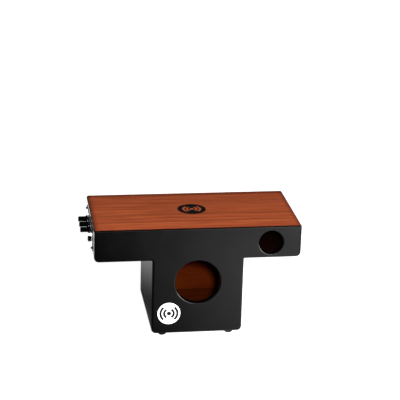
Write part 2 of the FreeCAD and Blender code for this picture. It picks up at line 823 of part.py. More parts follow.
def leads():
    """Pickup, battery and jack leads, each to its connector on the circuit board."""
    under = number(LEAD_HEIGHT)
    mouth = connector_mouth("pickup")
    lead("pickup_lead", [
        Vector(0, number("pickup_cap / 2"), under), Vector(0, 50, under), Vector(-32, 82, under),
        Vector(-84, 82, under), Vector(-128, 85, under), Vector(-162, 76, under - 6),
        Vector(-190, 63, under - 16), mouth + Vector(24, 0, 0), mouth])
    mouth = connector_mouth("battery")
    middle_x = number("-battery_inner - battery_width / 2")
    snap_face = number(f"{BATTERY_Y[1]} + snap_thickness")
    middle_z = number(f"{BATTERY_BASE} + battery_height / 2")
    lead("battery_lead", [
        Vector(middle_x, snap_face, middle_z), Vector(middle_x, snap_face + 20, middle_z),
        mouth + Vector(23, 0, 0), mouth])
    mouth = connector_mouth("jack")
    back = Vector(number(f"{LEFT_FACE} + jack_depth"), -number("jack_front"), number(JACK_HEIGHT))
    lead("jack_lead", [
        back, back + Vector(14, 0, 0), back + Vector(22, 13, 2), mouth + Vector(20, 0, 0), mouth])


# Middle of each clip, on a straight run of the pickup lead, and the way the lead runs there.
CLIP_PLACES = ((Vector(0, 20, 0), Vector(0, 1, 0)), (Vector(-58.3, 82, 0), Vector(1, 0, 0)))


def lead_clips():
    """Two clips glued under the board that hold the pickup lead."""
    radius = number("lead_radius")
    height = number(LEAD_HEIGHT)
    top = number(BOARD_UNDER)
    bottom = height - radius - number("clip_wall")
    length, width = number("clip_length"), number("clip_width")
    clips = []
    for centre, along in CLIP_PLACES:
        centre = centre + Vector(0, 0, height)
        size = along * length + Vector(along.y, along.x, 0) * width
        block = Part.makeBox(size.x, size.y, top - bottom, Vector(centre.x, centre.y, bottom) - size / 2)
        bore = Part.makeCylinder(radius, 2 * length, centre - along * length, along)
        clips.append(block.cut(bore))
    compound("lead_clips", clips)


# ---------------------------------------------------------------- build and write

front_panel()
t_panel("back_panel", "body_depth / 2", "0")
stem_walls()
arm_walls()
playing_surface()
corner_battens()
feet()
emblems()
snares()
control_plate()
plate_screws()
controls()
output_jack()
circuit_board()
battery()
bracket_pilots(battery_bracket())
pickup()
leads()
lead_clips()
doc.removeObject("probe")
doc.recompute()

for item in doc.Objects:
    if "Invalid" in item.State or "Error" in item.State:
        raise RuntimeError(f"{item.Label} failed: {item.State}")
os.makedirs("parts", exist_ok=True)
for item in parts:
    if item.Shape.isNull() or not item.Shape.isValid():
        raise RuntimeError(f"{item.Label} has no valid shape")
    item.Shape.exportStep(f"parts/{item.Label}.step")
print(len(parts), "parts written")
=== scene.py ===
"""Looks of a slap-top cajon: finishes, trim pieces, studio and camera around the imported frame.

Lengths are in metres, in the frame's own axes: X runs along the playing surface, the front with
the sound hole faces -Y, and Z is up. The control plate is on the left arm's end, facing -X.
"""
import json
import math

import bmesh
import bpy
from mathutils import Matrix, Vector


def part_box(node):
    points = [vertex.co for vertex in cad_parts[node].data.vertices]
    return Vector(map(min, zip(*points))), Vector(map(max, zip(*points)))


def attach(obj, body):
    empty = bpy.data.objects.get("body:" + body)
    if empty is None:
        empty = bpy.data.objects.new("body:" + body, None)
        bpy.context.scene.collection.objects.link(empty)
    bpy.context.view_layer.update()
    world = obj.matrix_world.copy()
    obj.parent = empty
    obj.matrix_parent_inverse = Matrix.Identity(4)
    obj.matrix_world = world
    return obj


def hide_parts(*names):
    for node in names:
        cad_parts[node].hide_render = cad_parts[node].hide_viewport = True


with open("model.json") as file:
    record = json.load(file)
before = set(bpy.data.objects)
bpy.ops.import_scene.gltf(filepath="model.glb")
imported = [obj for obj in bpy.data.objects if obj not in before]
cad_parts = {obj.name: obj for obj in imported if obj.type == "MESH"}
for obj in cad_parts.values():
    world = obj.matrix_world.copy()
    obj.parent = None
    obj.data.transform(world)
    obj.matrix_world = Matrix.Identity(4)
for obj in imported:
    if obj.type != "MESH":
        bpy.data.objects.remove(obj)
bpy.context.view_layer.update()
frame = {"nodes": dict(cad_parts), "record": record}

MM = 0.001
CAD = frame["nodes"]


def middle(node):
    """Centre of a CAD node's box."""
    low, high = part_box(node)
    return (low + high) / 2


# Planes of the wooden box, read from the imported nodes.
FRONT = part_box("front_panel")[0].y
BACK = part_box("back_panel")[1].y
INNER_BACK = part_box("back_panel")[0].y
STEM_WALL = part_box("stem_side_right")[0].x
ARM_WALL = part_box("arm_end_right")[0].x
STEM_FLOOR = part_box("stem_floor")[1].z
ARM_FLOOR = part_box("arm_floor_right")[1].z
BOARD_UNDER, TOP = (corner.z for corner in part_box("playing_surface"))
PLATE_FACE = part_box("control_plate")[0].x

# ---------------------------------------------------------------- camera and studio

CAMERA_PLACE = Vector((-0.497, -3.309, 1.505))
CAMERA_HEADING = math.radians(-8.87)    # turned to the right of +Y
CAMERA_TILT = math.radians(-19.67)      # below the horizon
CAMERA_ROLL = math.radians(1.56)
SENSOR = 36         # millimetres, as Blender's camera counts
FOCAL = 130.5
CLIP_END = 200


def make_camera():
    """Camera without shift or depth of field, in front of the object and a little above it."""
    camera = bpy.data.objects.new("camera", bpy.data.cameras.new("camera"))
    bpy.context.scene.collection.objects.link(camera)
    turn = (Matrix.Rotation(CAMERA_HEADING, 4, "Z")
            @ Matrix.Rotation(math.pi / 2 + CAMERA_TILT, 4, "X")
            @ Matrix.Rotation(CAMERA_ROLL, 4, "Z"))
    camera.matrix_world = Matrix.Translation(CAMERA_PLACE) @ turn
    camera.data.sensor_width = SENSOR
    camera.data.lens = FOCAL
    camera.data.clip_end = CLIP_END
    bpy.context.scene.camera = camera


def level_square(name, half, height):
    """Square sheet of the stage, centred under the object."""
    mesh = bpy.data.meshes.new(name)
    corners = [(-half, -half, height), (half, -half, height), (half, half, height), (-half, half, height)]
    mesh.from_pydata(corners, [], [(0, 1, 2, 3)])
    square = bpy.data.objects.new(name, mesh)
    bpy.context.scene.collection.objects.link(square)
    return square


FLOOR_HALF = 40
FLOOR_GREY = (0.6, 0.6, 0.6, 1)
FLOOR_GLOW = 0.86


def make_floor():
    """Large pale floor that glows like a light table, so that shadows stay faint on it.

    Matt surfaces get no light from it, so the glow doesn't brighten the object from below.
    """
    floor = level_square("floor", FLOOR_HALF, 0)
    pale = bpy.data.materials.new("pale_floor")
    pale.use_nodes = True
    shader = pale.node_tree.nodes["Principled BSDF"]
    shader.inputs["Base Color"].default_value = FLOOR_GREY
    shader.inputs["Roughness"].default_value = 1
    shader.inputs["Specular IOR Level"].default_value = 0
    shader.inputs["Emission Color"].default_value = (1, 1, 1, 1)
    shader.inputs["Emission Strength"].default_value = FLOOR_GLOW
    floor.data.materials.append(pale)
    floor.visible_diffuse = False


# Bright patches of the reflector: middle x and y, half width, half depth and strength.
REFLECTOR_PATCHES = (
    (0.31, -0.45, 0.44, 0.95, 2.05),
    (-0.38, 0.85, 0.42, 0.75, 1.8),
    (0.75, 0.95, 0.45, 0.50, 1.8),
    (-1.15, 0.35, 0.60, 0.60, 0.85),
    (-0.42, 0.68, 0.11, 0.28, 2.5),
)
REFLECTOR_BASE = 0.04       # glow between the patches
REFLECTOR_HALF = 3
REFLECTOR_LIFT = 0.5 * MM
PATCH_REACH = 1.2           # where a patch has faded out, in half widths


def make_reflector():
    """Graduated card just above the floor that only glossy surfaces see: dark, with bright patches.

    It shades the satin lacquer, and leaves the floor's own look and shadows alone.
    """
    card = level_square("reflector", REFLECTOR_HALF, REFLECTOR_LIFT)
    card.visible_camera = False
    card.visible_diffuse = False
    card.visible_shadow = False
    card.visible_transmission = False
    finish = Finish("reflector_card")
    glow = REFLECTOR_BASE
    for x, y, half_width, half_depth, strength in REFLECTOR_PATCHES:
        across = finish.math("DIVIDE", finish.math("SUBTRACT", finish.along("X"), x), half_width)
        deep = finish.math("DIVIDE", finish.math("SUBTRACT", finish.along("Y"), y), half_depth)
        squares = finish.math("ADD", finish.math("MULTIPLY", across, across),
                              finish.math("MULTIPLY", deep, deep))
        patch = finish.fade(finish.math("SQRT", squares), 0, PATCH_REACH, strength, 0)
        glow = finish.math("ADD", patch, glow)
    finish.surface(base_color=(0, 0, 0, 1), roughness=1.0, specular_ior_level=0.0,
                   emission_color=(1, 1, 1, 1), emission_strength=glow)
    card.data.materials.append(finish.material)


WORLD_FRONT = 0.3           # light of the surroundings in front of the object and behind it
WORLD_BACK = 0.2
WORLD_TURN = 0.7            # how far round the change between the two reaches
WORLD_GLOSSY_LOSS = 0.15    # how much less of it glossy surfaces reflect


def make_world():
    """White backdrop whose own light is soft, weaker behind the object and weaker in reflections."""
    world = bpy.data.worlds.new("studio")
    bpy.context.scene.world = world
    world.use_nodes = True
    nodes, links = world.node_tree.nodes, world.node_tree.links

    def combine(operation, first, second):
        node = nodes.new("ShaderNodeMath")
        node.operation = operation
        links.new(first, node.inputs[0])
        if isinstance(second, bpy.types.NodeSocket):
            links.new(second, node.inputs[1])
        else:
            node.inputs[1].default_value = second
        return node.outputs[0]

    split = nodes.new("ShaderNodeSeparateXYZ")
    links.new(nodes.new("ShaderNodeTexCoord").outputs["Generated"], split.inputs[0])
    fade = nodes.new("ShaderNodeMapRange")
    for name, number in (("From Min", -WORLD_TURN), ("From Max", WORLD_TURN),
                         ("To Min", WORLD_FRONT), ("To Max", WORLD_BACK)):
        fade.inputs[name].default_value = number
    links.new(split.outputs["Y"], fade.inputs["Value"])
    path = nodes.new("ShaderNodeLightPath")
    dimmed = combine("MULTIPLY", path.outputs["Is Glossy Ray"], -WORLD_GLOSSY_LOSS)
    ambient = combine("ADD", fade.outputs["Result"], dimmed)
    shown = combine("MAXIMUM", ambient, path.outputs["Is Camera Ray"])
    links.new(shown, nodes["Background"].inputs["Strength"])
    nodes["Background"].inputs["Color"].default_value = (1, 1, 1, 1)


def soft_light(name, place, target, width, height, power, reflected=False):
    """Area light in watts: it lights matt surfaces or, if reflected is set, shows in glossy ones only."""
    light = bpy.data.lights.new(name, "AREA")
    light.shape = "RECTANGLE"
    light.size = width
    light.size_y = height
    light.energy = power
    lamp = bpy.data.objects.new(name, light)
    bpy.context.scene.collection.objects.link(lamp)
    lamp.visible_camera = False
    lamp.visible_diffuse = not reflected
    lamp.visible_glossy = reflected
    lamp.location = place
    lamp.rotation_mode = "QUATERNION"
    lamp.rotation_quaternion = (Vector(target) - Vector(place)).to_track_quat("-Z", "Y")


def make_studio():
    """Floor, surroundings and lights, with colours shown as they are."""
    make_floor()
    make_reflector()
    make_world()
    object_middle = (0, 0, 0.15)
    front_face = (0, -0.1, 0.2)
    soft_light("key", place=(-0.22, -2.95, 1.47), target=object_middle,
               width=0.22, height=0.22, power=190)
    soft_light("side_box", place=(0.89, -2.2, 1.2), target=object_middle,
               width=0.9, height=0.6, power=60)
    soft_light("low_strip", place=(0.92, -1.31, 0.22), target=front_face,
               width=1.5, height=0.42, power=42, reflected=True)
    bpy.context.scene.view_settings.view_transform = "Standard"


# ---------------------------------------------------------------- node helper

class Finish:
    """One material and short calls that add nodes to it."""

    def __init__(self, name):
        self.material = bpy.data.materials.new(name)
        self.material.use_nodes = True
        self.tree = self.material.node_tree
        self.shader = self.tree.nodes["Principled BSDF"]
        self.place = self.add("ShaderNodeTexCoord").outputs["Object"]

    def add(self, kind, **settings):
        node = self.tree.nodes.new(kind)
        for name, value in settings.items():
            setattr(node, name, value)
        return node

    def feed(self, socket, value):
        """Link an output to a socket, or set the socket's own value."""
        if isinstance(value, bpy.types.NodeSocket):
            self.tree.links.new(value, socket)
        else:
            socket.default_value = value

    def surface(self, **values):
        """Set the shader's sockets, named in lower case with underscores."""
        names = {socket.name.lower().replace(" ", "_"): socket for socket in self.shader.inputs}
        for name, value in values.items():
            self.feed(names[name], value)

    def math(self, operation, first, second=0.0):
        node = self.add("ShaderNodeMath", operation=operation)
        self.feed(node.inputs[0], first)
        self.feed(node.inputs[1], second)
        return node.outputs[0]

    def along(self, axis, absolute=False):
        """The place along X, Y or Z, or its distance from the middle."""
        split = self.add("ShaderNodeSeparateXYZ")
        self.feed(split.inputs[0], self.place)
        value = split.outputs[axis]
        return self.math("ABSOLUTE", value) if absolute else value

    def stretched(self, x, y, z):
        """The place with each axis multiplied, for grain that runs along one of them."""
        node = self.add("ShaderNodeMapping")
        self.feed(node.inputs["Vector"], self.place)
        node.inputs["Scale"].default_value = (x, y, z)
        return node.outputs["Vector"]

    def noise(self, scale, detail=2.0, where=None, distortion=0.0):
        node = self.add("ShaderNodeTexNoise")
        self.feed(node.inputs["Vector"], where or self.place)
        node.inputs["Scale"].default_value = scale
        node.inputs["Detail"].default_value = detail
        node.inputs["Distortion"].default_value = distortion
        return node.outputs["Fac"]

    def fade(self, value, start, end, low=0.0, high=1.0):
        """Smooth step of a value from low at start to high at end."""
        node = self.add("ShaderNodeMapRange", interpolation_type="SMOOTHSTEP")
        self.feed(node.inputs["Value"], value)
        for name, number in zip(("From Min", "From Max", "To Min", "To Max"), (start, end, low, high)):
            node.inputs[name].default_value = number
        return node.outputs["Result"]

    def mix(self, share, first, second):
        """Colour between first and second, each a socket or an (r, g, b)."""
        node = self.add("ShaderNodeMix", data_type="RGBA", blend_type="MIX")
        self.feed(node.inputs["Factor"], share)
        first_colour, second_colour, result = node.inputs[6], node.inputs[7], node.outputs[2]
        for socket, value in ((first_colour, first), (second_colour, second)):
            self.feed(socket, value if isinstance(value, bpy.types.NodeSocket) else (*value, 1))
        return result

    def bump(self, height, depth):
        """Relief of a given depth in metres."""
        node = self.add("ShaderNodeBump")
        node.inputs["Strength"].default_value = 1
        node.inputs["Distance"].default_value = depth
        self.feed(node.inputs["Height"], height)
        return node.outputs["Normal"]


# ---------------------------------------------------------------- finishes

BLACK = (0.0006, 0.0004, 0.0005)
BLACK_SMUDGED = (0.0009, 0.00085, 0.00085)
STAIN_LIGHT = (0.044, 0.0066, 0.0009)
STAIN_DARK = (0.018, 0.0012, 0.0002)
# painted shade: near-black colour for the plywood inside the arms' hollow
ARM_INSIDE_PAINTED_SHADE = (0.002, 0.001, 0.0008)

VENEER_DARK = (0.345, 0.07, 0.0225)
VENEER_LIGHT = (0.415, 0.094, 0.0305)
VENEER_STRIPE = (0.19, 0.032, 0.01)
VENEER_LINE = (0.15, 0.026, 0.009)
VENEER_STREAK = (0.12, 0.02, 0.006)
# painted shade: colour the veneer fades to towards the rear edge, standing in for light falling off
# across the top
VENEER_REAR_PAINTED_SHADE = (0.15, 0.025, 0.008)
VENEER_PORE = (0.09, 0.016, 0.006)
VENEER_REAR_STRIP = (0.095, 0.014, 0.005)
VENEER_RIM = (0.06, 0.009, 0.003)

PEEL_DEPTH = 0.001 * MM     # unevenness of sprayed lacquer
FIBRE_DEPTH = 0.04 * MM     # relief of bare plywood inside the box
VENEER_THICKNESS = 0.9 * MM
SLACK = 0.2 * MM            # how far past a plane its faces may lie


def plywood_colour(finish):
    """Reddish stained plywood with its grain along X and fine fibres."""
    broad = finish.noise(7, 3, finish.stretched(0.5, 2, 2), 0.6)
    fibres = finish.noise(60, 4, finish.stretched(0.25, 8, 8))
    tone = finish.mix(finish.fade(broad, 0.35, 0.65), STAIN_DARK, STAIN_LIGHT)
    return finish.mix(finish.fade(fibres, 0.45, 0.7, 0, 0.45), tone, STAIN_DARK), fibres


def panel_finish():
    """Satin black lacquer outside and stained plywood on the faces of the hollow, with painted shade that
    darkens the plywood inside the arms almost to black.
    """
    finish = Finish("panel_lacquer")
    x, y = finish.along("X", absolute=True), finish.along("Y", absolute=True)
    z = finish.along("Z")
    in_stem = finish.math("MULTIPLY", finish.math("LESS_THAN", x, STEM_WALL + SLACK),
                          finish.math("GREATER_THAN", z, STEM_FLOOR - SLACK))
    in_arms = finish.math("MULTIPLY", finish.math("LESS_THAN", x, ARM_WALL + SLACK),
                          finish.math("GREATER_THAN", z, ARM_FLOOR - SLACK))
    inside = finish.math("MULTIPLY", finish.math("MAXIMUM", in_stem, in_arms),
                         finish.math("LESS_THAN", y, INNER_BACK + SLACK))
    wood, fibres = plywood_colour(finish)
    # Painted shade: inside the arms the plywood is darkened almost to black, as the hollow lies in shade.
    wood = finish.mix(finish.math("MULTIPLY", in_arms, 0.92), wood, ARM_INSIDE_PAINTED_SHADE)
    smudge = finish.noise(14, 3)
    peel = finish.math("MULTIPLY", finish.noise(650, 2), PEEL_DEPTH / FIBRE_DEPTH)
    relief = finish.math("ADD", peel, finish.math("MULTIPLY", fibres, inside))
    lacquer = finish.mix(finish.fade(smudge, 0.4, 0.7), BLACK, BLACK_SMUDGED)
    finish.surface(
        base_color=finish.mix(inside, lacquer, wood),
        roughness=finish.fade(smudge, 0.35, 0.7, 0.2, 0.25),
        specular_ior_level=0.22,
        normal=finish.bump(relief, FIBRE_DEPTH))
    return finish.material


def veneer_colour(finish):
    """Red mahogany veneer: straight grain along X, a few dark streaks and short open pores, and painted
    shade that darkens it towards the rear.

    Returns the colour with the fine lines and the pores that make its relief.
    """
    bands = finish.noise(1, 2, finish.stretched(0.9, 24, 24), 0.3)
    stripes = finish.noise(1, 3, finish.stretched(2.6, 120, 120), 0.2)
    lines = finish.noise(1, 5, finish.stretched(9, 420, 420), 0.2)
    streaks = finish.noise(1, 1, finish.stretched(0.8, 46, 46), 0.5)
    pores = finish.noise(1, 2, finish.stretched(130, 1500, 1500))
    wood = finish.mix(finish.fade(bands, 0.3, 0.7), VENEER_DARK, VENEER_LIGHT)
    wood = finish.mix(finish.fade(stripes, 0.42, 0.62, 0, 0.4), wood, VENEER_STRIPE)
    wood = finish.mix(finish.fade(lines, 0.44, 0.62, 0, 0.7), wood, VENEER_LINE)
    wood = finish.mix(finish.fade(streaks, 0.6, 0.68, 0, 0.5), wood, VENEER_STREAK)
    # Painted shade: the veneer grows darker from the front edge to the rear edge.
    wood = finish.mix(finish.fade(finish.along("Y"), FRONT, BACK, 0, 0.32), wood, VENEER_REAR_PAINTED_SHADE)
    return finish.mix(finish.fade(pores, 0.62, 0.72, 0, 0.5), wood, VENEER_PORE), lines, pores


def darker_border(finish, wood):
    """Veneer with a darker strip along the rear and a darker rim at its ends and sides."""
    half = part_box("playing_surface")[1]
    rear = finish.fade(finish.along("Y"), BACK - 26 * MM, BACK - 14 * MM, 0, 0.65)
    ends = finish.fade(finish.along("X", absolute=True), half.x - 16 * MM, half.x - 2 * MM, 0, 0.6)
    sides = finish.fade(finish.along("Y", absolute=True), half.y - 6 * MM, half.y - 2 * MM, 0, 0.85)
    wood = finish.mix(rear, wood, VENEER_REAR_STRIP)
    return finish.mix(finish.math("MAXIMUM", ends, sides), wood, VENEER_RIM)


def board_finish():
    """Veneer on the board's top; its rounded edge is lacquered and its underside is plywood."""
    finish = Finish("playing_veneer")
    veneer, lines, pores = veneer_colour(finish)
    wood = darker_border(finish, veneer)
    z = finish.along("Z")
    edge = finish.math("LESS_THAN", z, TOP - VENEER_THICKNESS)
    under = finish.math("LESS_THAN", z, BOARD_UNDER + 0.02 * MM)
    plain, _ = plywood_colour(finish)
    relief = finish.math("SUBTRACT", finish.math("MULTIPLY", lines, 0.4), pores)
    colour = finish.mix(edge, wood, BLACK)
    finish.surface(
        base_color=finish.mix(under, colour, plain),
        roughness=finish.fade(lines, 0.3, 0.7, 0.34, 0.46),
        specular_ior_level=0.13,
        normal=finish.bump(relief, 0.02 * MM))
    return finish.material


def plywood_finish():
    """Stained plywood of the pieces that lie wholly inside."""
    finish = Finish("stained_plywood")
    colour, fibres = plywood_colour(finish)
    finish.surface(base_color=colour, roughness=finish.fade(fibres, 0.3, 0.7, 0.6, 0.75),
                   specular_ior_level=0.05, normal=finish.bump(fibres, 0.05 * MM))
    return finish.material


def rubber_finish():
    """Black rubber with a little dust on it."""
    finish = Finish("foot_rubber")
    grain = finish.noise(900, 3)
    dust = finish.noise(60, 4)
    dusty = finish.fade(dust, 0.5, 0.75, 0, 0.6)
    finish.surface(
        base_color=finish.mix(dusty, (0.003, 0.003, 0.003), (0.009, 0.009, 0.0085)),
        roughness=finish.fade(dust, 0.3, 0.7, 0.7, 0.85), specular_ior_level=0.08,
        normal=finish.bump(grain, 0.06 * MM))
    return finish.material


def metal_finish(name, colour, tint, smooth, rough, brush=(1, 1, 1), relief=0.004):
    """Metal of an uneven tone with fine marks; brush stretches them along one axis.

    The relief is in millimetres.
    """
    finish = Finish(name)
    marks = finish.noise(900, 2, finish.stretched(*brush))
    cloud = finish.noise(45, 3)
    finish.surface(
        base_color=finish.mix(finish.fade(cloud, 0.35, 0.7), colour, tint), metallic=1.0,
        roughness=finish.fade(marks, 0.3, 0.7, smooth, rough),
        normal=finish.bump(marks, relief * MM))
    return finish.material


def plastic_finish(name, colour, worn, smooth, rough, grain=700, relief=0.02, shine=0.2):
    """Moulded plastic with a fine grain, whose relief is in millimetres, and slight handling marks."""
    finish = Finish(name)
    pebbles = finish.noise(grain, 2)
    handling = finish.noise(80, 4)
    finish.surface(
        base_color=finish.mix(finish.fade(handling, 0.4, 0.75), colour, worn),
        roughness=finish.fade(handling, 0.3, 0.7, smooth, rough), specular_ior_level=shine,
        normal=finish.bump(pebbles, relief * MM))
    return finish.material


CIRCUIT_THICKNESS = 1.65 * MM


def circuit_finish():
    """Green board with copper tracks under the mask; what stands on it is black or grey plastic."""
    finish = Finish("circuit_board")
    tracks = finish.add("ShaderNodeTexBrick")
    finish.feed(tracks.inputs["Vector"], finish.stretched(0, 1, 1))
    for name, number in (("Scale", 90), ("Mortar Size", 0.03),
                         ("Brick Width", 0.7), ("Row Height", 0.22)):
        tracks.inputs[name].default_value = number
    speckle = finish.noise(300, 2)
    green = finish.mix(finish.fade(speckle, 0.3, 0.7), (0.008, 0.07, 0.02), (0.012, 0.1, 0.03))
    green = finish.mix(tracks.outputs["Fac"], green, (0.05, 0.2, 0.06))
    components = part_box("preamp_board")[0].x + CIRCUIT_THICKNESS
    raised = finish.math("GREATER_THAN", finish.along("X"), components)
    finish.surface(base_color=finish.mix(raised, green, (0.03, 0.03, 0.032)),
                   roughness=finish.fade(speckle, 0.3, 0.7, 0.35, 0.5),
                   normal=finish.bump(speckle, 0.02 * MM))
    return finish.material


CERAMIC_RADIUS = 9.5 * MM
PICKUP_DISC = 0.7 * MM      # thickness of the disc and its ceramic above the cap


def pickup_finish():
    """Brass disc with a pale ceramic middle, on top of a black cap."""
    finish = Finish("pickup_brass")
    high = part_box("piezo_pickup")[1]
    x, y = finish.along("X"), finish.along("Y")
    squares = finish.math("ADD", finish.math("MULTIPLY", x, x), finish.math("MULTIPLY", y, y))
    ceramic = finish.math("LESS_THAN", squares, CERAMIC_RADIUS ** 2)
    cap = finish.math("LESS_THAN", finish.along("Z"), high.z - PICKUP_DISC)
    scuffs = finish.noise(400, 3)
    brass = finish.mix(finish.fade(scuffs, 0.3, 0.7), (0.6, 0.38, 0.12), (0.75, 0.52, 0.2))
    colour = finish.mix(cap, finish.mix(ceramic, brass, (0.7, 0.68, 0.62)), (0.02, 0.02, 0.02))
    bare = finish.math("SUBTRACT", 1.0, finish.math("MAXIMUM", ceramic, cap))
    finish.surface(base_color=colour, metallic=bare, roughness=finish.fade(scuffs, 0.3, 0.7, 0.3, 0.5))
    return finish.material


def battery_finish():
    """Wrapped battery: dark sleeve with a copper-coloured band at its far end."""
    finish = Finish("battery_case")
    low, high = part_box("battery")
    band = finish.math("LESS_THAN", finish.along("Y"), low.y + 0.3 * (high.y - low.y))
    scuffs = finish.noise(250, 3)
    dark = finish.mix(finish.fade(scuffs, 0.4, 0.8), (0.015, 0.015, 0.017), (0.03, 0.03, 0.032))
    finish.surface(base_color=finish.mix(band, dark, (0.55, 0.25, 0.1)), metallic=band,
                   roughness=finish.fade(scuffs, 0.3, 0.7, 0.28, 0.42))
    return finish.material


def make_finishes():
    """Every finish, by the record's name of its material slot."""
    deep_black, worn_black = (0.0008, 0.0008, 0.0009), (0.0015, 0.0015, 0.0015)
    return {
        "body_lacquer": panel_finish(),
        "playing_veneer": board_finish(),
        "bare_wood": plywood_finish(),
        "foot_rubber": rubber_finish(),
        "screw_steel": metal_finish("screw_steel", (0.5, 0.49, 0.47), (0.62, 0.61, 0.6), 0.25, 0.42),
        "screw_black": metal_finish("screw_black", (0.006, 0.006, 0.006), (0.01, 0.01, 0.01), 0.3, 0.45),
        "plate_chrome": metal_finish("plate_chrome", (0.82, 0.82, 0.83), (0.88, 0.88, 0.88), 0.13, 0.23,
                                     brush=(60, 1, 60), relief=0.001),
        "snare_steel": metal_finish("snare_steel", (0.55, 0.54, 0.52), (0.66, 0.65, 0.63), 0.2, 0.35),
        "pot_metal": metal_finish("pot_metal", (0.42, 0.42, 0.4), (0.52, 0.52, 0.5), 0.3, 0.5),
        "shaft_steel": metal_finish("shaft_steel", (0.55, 0.55, 0.55), (0.65, 0.65, 0.65), 0.18, 0.3),
        "nut_nickel": metal_finish("nut_nickel", (0.66, 0.63, 0.57), (0.74, 0.72, 0.68), 0.15, 0.3),
        "knob_plastic": plastic_finish("knob_plastic", deep_black, worn_black, 0.22, 0.3, shine=0.06),
        "jack_plastic": plastic_finish("jack_plastic", deep_black, worn_black, 0.2, 0.3, shine=0.06),
        "circuit_board": circuit_finish(),
        "battery_case": battery_finish(),
        "snap_plastic": plastic_finish("snap_plastic", (0.012, 0.012, 0.013), (0.03, 0.03, 0.03),
                                       0.45, 0.6),
        "bracket_steel": metal_finish("bracket_steel", (0.45, 0.45, 0.46), (0.55, 0.55, 0.55), 0.3, 0.45,
                                      brush=(1, 30, 30)),
        "pickup_brass": pickup_finish(),
        "lead_sheath": plastic_finish("lead_sheath", (0.02, 0.02, 0.021), (0.035, 0.035, 0.036),
                                      0.45, 0.6),
        "clip_plastic": plastic_finish("clip_plastic", (0.5, 0.49, 0.46), (0.6, 0.58, 0.54), 0.4, 0.55),
        "emblem_white": plastic_finish("emblem_white", (0.86, 0.86, 0.86), (0.8, 0.8, 0.8), 0.3, 0.38,
                                       grain=500, relief=0.004),
        "emblem_black": plastic_finish("emblem_black", (0.002, 0.002, 0.002), (0.003, 0.003, 0.003),
                                       0.34, 0.42, grain=500, relief=0.004),
    }


def paint(item, material):
    """Give an object one material and no other."""
    item.data.materials.clear()
    item.data.materials.append(material)


def paint_cad(finishes):
    """Give every CAD node the finish of the material slot that the record states for it."""
    for part in frame["record"]["subparts"]:
        paint(CAD[part["node"]], finishes[part["material_slot"]])


# ---------------------------------------------------------------- mesh helpers

TO_LEFT = Matrix(((0, 0, -1), (0, 1, 0), (1, 0, 0))).to_4x4()     # local Z points to -X, local X up
TO_FRONT = Matrix(((1, 0, 0), (0, 0, -1), (0, 1, 0))).to_4x4()    # local Z points to -Y, local Y up
TO_FLOOR = Matrix.Rotation(math.pi, 4, "X")                       # local Z points down
UPRIGHT = Matrix.Identity(4)                                      # local axes as the frame's
SHARP = math.radians(35)            # edges that bend more than this stay crisp


def new_piece(name, shape, body, slot, finishes, *nodes):
    """Turn a bmesh into a piece that rides on a body and stands for CAD nodes, if any are named."""
    bmesh.ops.recalc_face_normals(shape, faces=shape.faces)
    mesh = bpy.data.meshes.new(name)
    shape.to_mesh(mesh)
    shape.free()
    mesh.shade_smooth()
    mesh.set_sharp_from_angle(angle=SHARP)
    piece = bpy.data.objects.new(name, mesh)
    bpy.context.scene.collection.objects.link(piece)
    paint(piece, finishes[slot])
    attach(piece, body)
    if nodes:
        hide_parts(*nodes)
    return piece


def join_rings(shape, rings, closed):
    """Faces between neighbouring rings of vertices; a ring of one vertex is a pole."""
    pairs = list(zip(rings, rings[1:]))
    if closed:
        pairs.append((rings[-1], rings[0]))
    for lower, upper in pairs:
        count = max(len(lower), len(upper))
        for step in range(count):
            following = (step + 1) % count
            corners = [lower[step % len(lower)], lower[following % len(lower)],
                       upper[following % len(upper)], upper[step % len(upper)]]
            shape.faces.new(list(dict.fromkeys(corners)))


def turned(shape, outline, place, segments, change=None, closed=False):
    """Revolve (radius, height) corners about local Z; change(point) may move each point."""
    rings = []
    for radius, height in outline:
        count = segments if radius > 0 else 1
        ring = []
        for step in range(count):
            angle = 2 * math.pi * step / segments
            point = Vector((radius * math.cos(angle), radius * math.sin(angle), height))
            ring.append(shape.verts.new(place @ (change(point) if change else point)))
        rings.append(ring)
    join_rings(shape, rings, closed)


def swept(shape, points, radius, sides):
    """Round wire through points, with flat ends."""
    rings = []
    normal = (points[1] - points[0]).orthogonal().normalized()
    for index, point in enumerate(points):
        ahead = points[min(index + 1, len(points) - 1)] - points[max(index - 1, 0)]
        ahead.normalize()
        normal = (normal - ahead * normal.dot(ahead)).normalized()
        across = ahead.cross(normal)
        ring = []
        for step in range(sides):
            turn = 2 * math.pi * step / sides
            outward = normal * math.cos(turn) + across * math.sin(turn)
            ring.append(shape.verts.new(point + radius * outward))
        rings.append(ring)
    join_rings(shape, rings, False)
    shape.faces.new(rings[0])
    shape.faces.new(rings[-1])


def block(shape, low, high, place, bevel=0.0):
    """Box between two corners of a local frame, with its edges broken if a bevel is given."""
    low, high = Vector(low), Vector(high)
    to_box = place @ Matrix.Translation((low + high) / 2) @ Matrix.Diagonal((*(high - low), 1))
    made = bmesh.ops.create_cube(shape, size=1, matrix=to_box)
    if bevel:
        edges = list({edge for vertex in made["verts"] for edge in vertex.link_edges})
        bmesh.ops.bevel(shape, geom=edges, offset=bevel, segments=2, affect="EDGES")


def curved_bar(shape, place, radius, width, thickness, start, end):
    """Flat bar along an arc about local Z, from height 0 up to its thickness."""
    steps = 24
    rings = []
    for step in range(steps + 1):
        angle = start + (end - start) * step / steps
        around = Vector((math.cos(angle), math.sin(angle), 0))
        inner, outer = around * (radius - width / 2), around * (radius + width / 2)
        lift = Vector((0, 0, thickness))
        rings.append([shape.verts.new(place @ corner)
                      for corner in (inner, outer, outer + lift, inner + lift)])
    join_rings(shape, rings, False)
    shape.faces.new(rings[0])
    shape.faces.new(rings[-1])


# ---------------------------------------------------------------- screws

